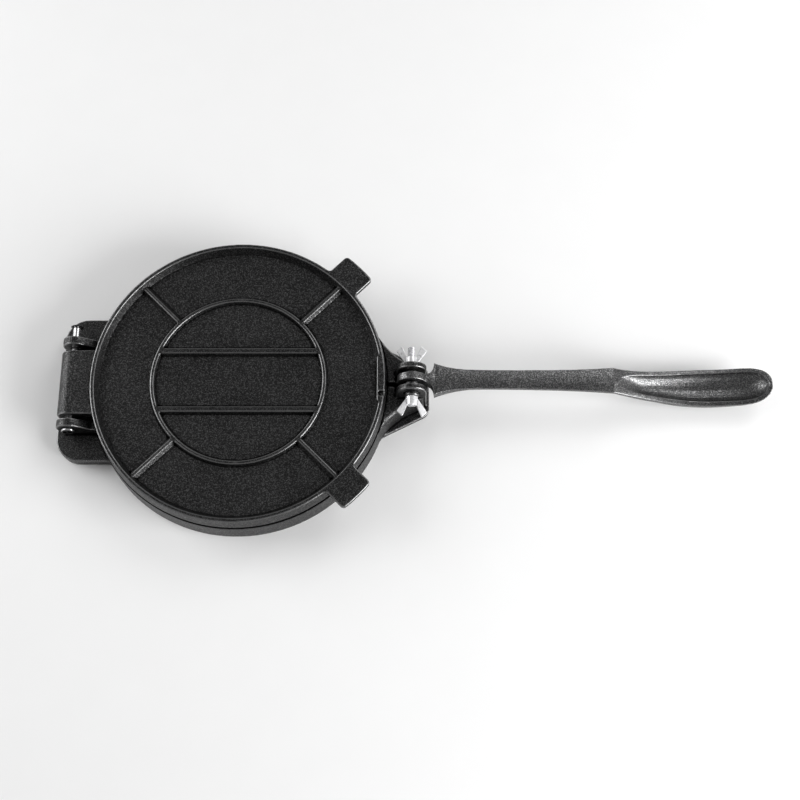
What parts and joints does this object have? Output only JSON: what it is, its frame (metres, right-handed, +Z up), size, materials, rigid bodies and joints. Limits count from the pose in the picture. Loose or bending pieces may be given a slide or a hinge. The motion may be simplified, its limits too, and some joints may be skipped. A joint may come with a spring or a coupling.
{
  "type": "tortilla press",
  "caption": "Hinged cast iron press that flattens a ball of dough between round plates with a long folding lever.",
  "frame": {"origin": "middle of the round base, at table level", "axes": "+X from the middle of the base towards the lever, along the open lever; +Z up, away from the table; +Y completes the right hand set, along the hinge pin towards its clip"},
  "size_m": [0.6134, 0.256, 0.0496],
  "materials": {
    "base_iron": "sand cast, oil seasoned, semi-matt",
    "plate_iron": "sand cast, oil seasoned, semi-matt",
    "lever_iron": "sand cast, oil seasoned, smoother and satin on the grip",
    "pin_steel": "bright drawn",
    "clip_steel": "black oxide spring steel",
    "stud_zinc": "zinc plated",
    "nut_zinc": "zinc plated, as cast"
  },
  "bodies": {
    "press_base": {"base": "base_iron", "hinge_pin": "pin_steel", "retaining_clip": "clip_steel", "pivot_stud": "stud_zinc"},
    "press_plate": {"top_plate": "plate_iron"},
    "lever": {"lever_handle": "lever_iron"},
    "far_nut": {"wing_nut_far": "nut_zinc"},
    "near_nut": {"wing_nut_near": "nut_zinc"}
  },
  "joints": [
    {"name": "plate_hinge", "type": "hinge", "parent": "press_base", "child": "press_plate", "pos_m": [-0.1435, 0, 0.025], "axis": [0, -1, 0], "range_deg": [0, 115]},
    {"name": "lever_pivot", "type": "hinge", "parent": "press_base", "child": "lever", "pos_m": [0.1475, 0, 0.037], "axis": [0, -1, 0], "range_deg": [0, 155]},
    {"name": "far_nut_turn", "type": "hinge", "parent": "press_base", "child": "far_nut", "pos_m": [0.1475, 0.018, 0.037], "axis": [0, 1, 0], "continuous": true},
    {"name": "near_nut_turn", "type": "hinge", "parent": "press_base", "child": "near_nut", "pos_m": [0.1475, -0.021, 0.037], "axis": [0, -1, 0], "continuous": true}
  ]
}
